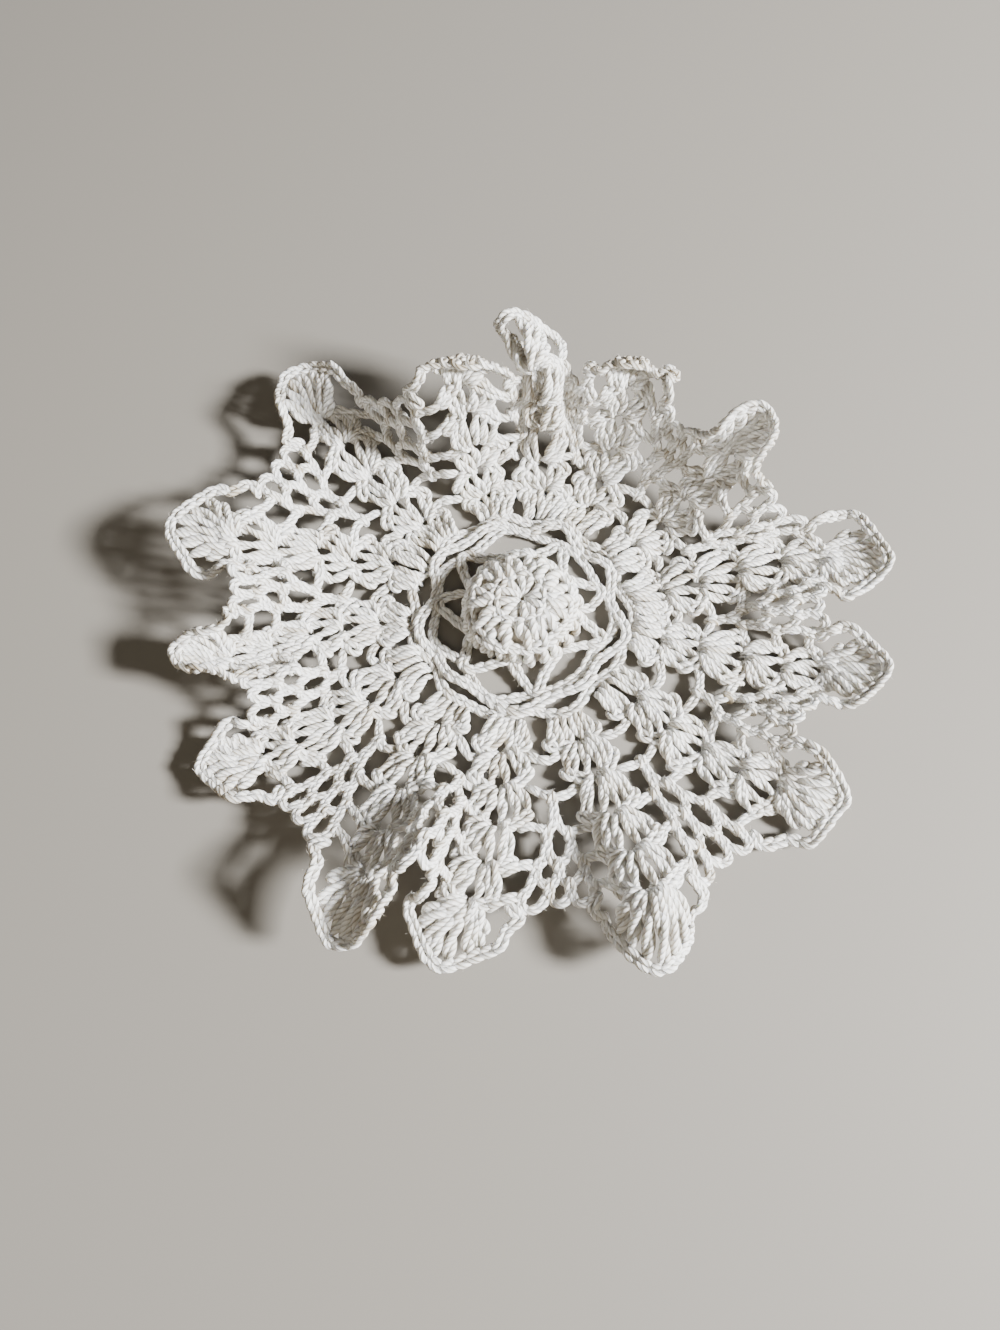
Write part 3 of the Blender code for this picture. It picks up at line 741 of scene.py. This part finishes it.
# ---------- the middle: chain rings, a star of loops and a raised rosette
middle = {
    # radius, two waves with their number and phase, height
    "rings": (
        (26.0, 1.0, 7, 20, 0.8, 4, 0, 1.6),
        (28.9, 1.4, 9, 120, 0.9, 5, 70, 2.6),
        (31.8, 1.1, 11, 0, 0.7, 6, 30, 1.7),
    ),
    "ringBob": (0.7, 60),  # mm up and down as often as the first wave, and degrees added to its phase
    "chain": {"half": 0.8, "pitch": 3.5, "radius": 0.78},  # of the rings and the star
    "starPoints": (-187, -133, -79, -18, 16, 61, 134),  # bearings
    "starFeet": 16.8,
    "starReach": 24.8,
    "starFoot": 3,  # degrees, from midway between two points to a loop's foot
    "starBend": (9, 3.6),  # degrees beside a point and mm inside it, where a loop bends
    "starTip": 2.5,  # degrees, half the width of a point
    "starAt": (0, 0.2, 0.5, 0.8, 1),  # along a loop
    "starHeights": (3.0, 1.9, 2.4, 1.9, 3.0),
    # the rosette's rounds of posts, from the middle out: radii and heights along a post
    "first": {
        "count": 12,
        "radii": (0.7, 2.6, 4.9, 6.9),
        "heights": (11.6, 12.9, 13.3, 12.7),
        "phase": 0.2,
        "lean": 7,
    },
    "second": {
        "count": 17,
        "radii": (7.2, 9.6, 12.6, 14.8),
        "heights": (12.0, 12.9, 12.0, 9.6),
        "phase": 0.5,
        "lean": 14,
    },
    "wall": {
        "count": 24,
        "radii": (14.4, 15.8, 16.2, 15.9),
        "heights": (9.8, 7.2, 4.2, 1.4),
        "phase": 0.1,
        "lean": 10,
    },
    "secondTwist": {"turns": 1.0, "apart": 1.05, "radius": 1.2},
    "wallTwist": {"turns": 0.7, "apart": 0.9, "radius": 1.1},
    "uneven": 0.3,  # mm up and down
    "unevenTurn": 8,  # degrees round for one mm of that
    "wedge": (0.5, 1.55),  # mm, radius of the first stitches at the middle and at their tops
    "braids": ((7.9, 12.9, 0.3, 5, 15), (14.6, 10.6, 0.7, 5, 40)),  # radius, height, wave, waves, tilt
    "braidChain": {"half": 1.0, "deep": 0.6, "pitch": 3.6, "radius": 0.9},
    # radius and height of the plain body inside the rosette
    "body": ((0.0, 11.0), (4.0, 11.7), (8.8, 11.7), (12.8, 10.4), (14.8, 6.8), (15.4, 0.8)),
    "bodyShade": -3.0,  # painted shade: the body is coloured as though it lay in the shade of the stitches
    "bodyPatch": (0.001, 0.1),  # of the yarn's pattern, on each of the body's faces
}


# a ring's radius is its own, plus two cosine waves round it, and its height has a sine wave
def ringLines():
    lines = []
    bearing = np.linspace(0, 360, 181)
    bob, later = middle["ringBob"]
    for radius, wave, waves, phase, less, lessWaves, lessPhase, high in middle["rings"]:
        wide = wave * np.cos(np.radians(waves * bearing + phase))
        small = less * np.cos(np.radians(lessWaves * bearing + lessPhase))
        up = high + bob * np.sin(np.radians(waves * bearing + phase + later))
        lines.append(placeRound(bearing, radius + wide + small, up))
    return lines


# each loop leaves the rosette's foot, turns at its point and comes back
def starLines():
    lines = []
    points = list(middle["starPoints"]) + [middle["starPoints"][0] + 360]
    feet = [(a + b) / 2 for a, b in zip(points, points[1:])]
    inner, outer, foot, tip = (middle[key] for key in ("starFeet", "starReach", "starFoot", "starTip"))
    bend, inside = middle["starBend"]
    for number, point in enumerate(middle["starPoints"]):
        before = feet[number - 1] - (360 if number == 0 else 0)
        path = [(before + foot, inner), (point - bend, outer - inside), (point - tip, outer)]
        path += [(point + tip, outer), (point + bend, outer - inside), (feet[number] - foot, inner)]
        angle = np.radians([b for b, _ in path])
        radii = np.array([r for _, r in path])
        flat = curveThrough(np.stack([radii * np.cos(angle), radii * np.sin(angle)], -1), 40)
        high = np.interp(np.linspace(0, 1, len(flat)), middle["starAt"], middle["starHeights"])
        bearing = np.degrees(np.arctan2(flat[:, 1], flat[:, 0]))
        lines.append(placeRound(bearing, np.hypot(flat[:, 0], flat[:, 1]), high))
    return lines


# posts of one round of the rosette, from one profile: radius and height along each post, and how
# many degrees it leans round on its way
def roundPosts(count, radii, heights, phase, lean):
    t = np.linspace(0, 1, post["points"])
    at = np.linspace(0, 1, len(radii))
    own = seeded.normal(0, middle["uneven"], (2, count, 1))
    bearing = (np.arange(count) + phase)[:, None] * 360 / count + lean * t + own[0] * middle["unevenTurn"]
    high = np.interp(t, at, heights)[None] + own[1]
    points, _ = placeRound(bearing, np.interp(t, at, radii)[None], high)
    way = unit(np.gradient(points, axis=1))
    around = np.stack([-np.sin(np.radians(bearing)), np.cos(np.radians(bearing)), 0 * bearing], -1)
    return points, np.cross(way, around)


# the inside of the rosette, turned round from the body's profile: a sheet painted in shade colour that
# stands for the shade between the stitches
def rosetteBody(count=40):
    radii, heights = np.array(middle["body"]).T
    points, _ = placeRound(np.arange(count) * 360 / count, radii[:, None], heights[:, None])
    index = np.arange(points.shape[0] * count).reshape(-1, count)
    around = np.roll(index, -1, 1)
    quads = np.stack([index[:-1], index[1:], around[1:], around[:-1]], -1).reshape(-1, 4)
    long, wide = middle["bodyPatch"]
    uv = np.tile([[0.0, 0.0], [long, 0.0], [long, wide], [0.0, wide]], (len(quads), 1))
    return points.reshape(-1, 3), quads, uv, np.full(index.size, middle["bodyShade"])


# a chain round the rosette that goes up and down in sine waves, its upper side tilted outward
def braidRing(radius, high, wave, waves, tilt):
    bearing = np.linspace(0, 360, 121)
    points, _ = placeRound(bearing, radius, high + wave * np.sin(np.radians(waves * bearing)))
    angle = np.radians(bearing)
    outward = np.stack([np.cos(angle), np.sin(angle), 0 * angle], -1)
    tilt = math.radians(tilt)
    return points, np.array([0.0, 0.0, 1.0]) * math.cos(tilt) + outward * math.sin(tilt)


# ---------- make the pieces
print("shells and fans")
shells = pieceOf("shells", postSkins(*buildShells()), yarnLook)
fans = pieceOf("fans", postSkins(*buildFans(), **fan["twist"]), yarnLook)

print("braids and edging")
braids = pieceOf("braids", [chainSkins(braidLines(), **shell["braidChain"])], yarnLook)
edging = pieceOf("edging", [chainSkins(edgingLines(), **fan["edgingChain"])], yarnLook)

print("mesh")
allNet = netLines()
netHalf = (len(allNet) + 1) // 2
netA = pieceOf("mesh_a", [chainSkins(allNet[:netHalf])], yarnLook)
netB = pieceOf("mesh_b", [chainSkins(allNet[netHalf:])], yarnLook)
knots = pieceOf("knots", [skin(*knotLoops(), True, yarn["tight"])], yarnLook)

print("middle")
rings = pieceOf("rings", [chainSkins(ringLines() + starLines(), **middle["chain"])], yarnLook)
first, second, wall = (roundPosts(**middle[key]) for key in ("first", "second", "wall"))
braidTops = [braidRing(*ring) for ring in middle["braids"]]
wedges = np.interp(np.arange(post["points"]), (0, post["points"] - 1), middle["wedge"])
rosetteSkins = postSkins(*first, turns=0, apart=0, radius=wedges, strands=1)
rosetteSkins += postSkins(*second, **middle["secondTwist"])
rosetteSkins += postSkins(*wall, **middle["wallTwist"])
rosetteSkins += [chainSkins(braidTops, **middle["braidChain"]), rosetteBody()]
rosette = pieceOf("rosette", rosetteSkins, yarnLook)

print("fuzz")
fuzz = {
    "hairs": 14000,
    "long": (0.6, 2.0),  # mm
    "wide": 0.06,  # mm
    "bendAt": 0.6,  # share of a hair's length
    "spread": (0.5, 0.8),  # how far its two steps turn away from straight
    "tipWide": 0.3,  # against its foot
    "lowest": 0.05,  # mm over the floor
}


# each hair is a ribbon of two steps: out from the yarn as far as bendAt, then bent over
def fuzzSkin():
    points, outward = (np.concatenate(part) for part in zip(*grown))
    pick = seeded.integers(0, len(points), fuzz["hairs"])
    root, outward = points[pick], outward[pick]
    first = unit(outward + seeded.normal(0, fuzz["spread"][0], root.shape))
    second = unit(first + seeded.normal(0, fuzz["spread"][1], root.shape))
    long = seeded.uniform(*fuzz["long"], (fuzz["hairs"], 1)) * mm
    elbow = root + first * long * fuzz["bendAt"]
    tip = elbow + second * long * (1 - fuzz["bendAt"])
    half = unit(np.cross(first, second)) * fuzz["wide"] / 2 * mm
    end = half * fuzz["tipWide"]
    rungs = np.stack([root - half, root + half, elbow - half, elbow + half, tip - end, tip + end], 1)
    rungs[..., 2] = np.maximum(rungs[..., 2], fuzz["lowest"] * mm)
    index = np.arange(fuzz["hairs"])[:, None] * 6
    quads = np.concatenate([index + (0, 1, 3, 2), index + (2, 3, 5, 4)])
    return rungs.reshape(-1, 3), quads, np.zeros((quads.size, 2)), np.full(len(rungs) * 6, 1.0)


pieceOf("fuzz", [fuzzSkin()], yarnLook)

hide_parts("doily")

# ---------- floor, light and camera
studio = {
    "floorColour": (0.23, 0.215, 0.19),
    "floorRoughness": 0.7,
    "floorSize": 3.0,
    "key": ((0.82, -0.17, 0.54), 1.5, 0.26, 120.0),  # direction to it, distance, size, power
    "fill": ((-0.2, -0.75, 0.6), 1.8, 1.4, 9.0),
    "fillColour": (1.0, 0.86, 0.64),
    "air": 0.12,
    "airColour": (1.0, 0.93, 0.83),
    "frameHigh": 1330,  # pixels
    "pixelFocal": 900.0,  # pixels
    "sensor": 36.0,  # mm, over the frame's height
    "elevation": 70.5,  # degrees over the floor
    "distance": 0.27,
    "nearest": 0.01,
    "opticOffset": (21.0, 49.0),  # pixels, of the rosette from the middle of the frame
}


# a plain square floor at height 0
def buildFloor():
    bpy.ops.mesh.primitive_plane_add(size=studio["floorSize"], location=(0, 0, 0))
    floor = bpy.context.object
    floor.name = "floor"
    material = bpy.data.materials.new("plain floor")
    material.use_nodes = True
    shader = material.node_tree.nodes["Principled BSDF"]
    shader.inputs["Base Color"].default_value = (*studio["floorColour"], 1)
    shader.inputs["Roughness"].default_value = studio["floorRoughness"]
    floor.data.materials.append(material)
    return floor


# a square lamp that faces the doily
def buildLamp(name, direction, distance, size, power):
    lamp = bpy.data.lights.new(name, "AREA")
    lamp.energy, lamp.size = power, size
    holder = bpy.data.objects.new(name, lamp)
    at = unit(np.array(direction)) * distance
    holder.location = at
    holder.rotation_euler = Vector(-at).to_track_quat("-Z", "Y").to_euler()
    bpy.context.scene.collection.objects.link(holder)
    return holder


# the camera looks down at the elevation, and the rosette is off its axis by opticOffset
def buildCamera():
    tilt = math.radians(studio["elevation"])
    forward = np.array([0, math.cos(tilt), -math.sin(tilt)])
    up = np.array([0, math.sin(tilt), math.cos(tilt)])
    right = np.array([1.0, 0, 0])
    sideways, upward = (v / studio["pixelFocal"] for v in studio["opticOffset"])
    at = -studio["distance"] * (forward + sideways * right + upward * up)
    at[:2] += np.array(lay["shift"]) * mm
    data = bpy.data.cameras.new("camera")
    data.sensor_fit = "AUTO"
    data.sensor_width = studio["sensor"]
    data.lens = studio["pixelFocal"] * studio["sensor"] / studio["frameHigh"]
    data.clip_start = studio["nearest"]
    camera = bpy.data.objects.new("camera", data)
    camera.location = at
    camera.rotation_euler = (math.pi / 2 - tilt, 0, 0)
    bpy.context.scene.collection.objects.link(camera)
    bpy.context.scene.camera = camera
    return camera


print("stage")
buildFloor()
buildLamp("key", *studio["key"])
buildLamp("fill", *studio["fill"]).data.color = studio["fillColour"]
world = bpy.data.worlds.new("air")
world.use_nodes = True
world.node_tree.nodes["Background"].inputs["Color"].default_value = (*studio["airColour"], 1)
world.node_tree.nodes["Background"].inputs["Strength"].default_value = studio["air"]
bpy.context.scene.world = world
buildCamera()
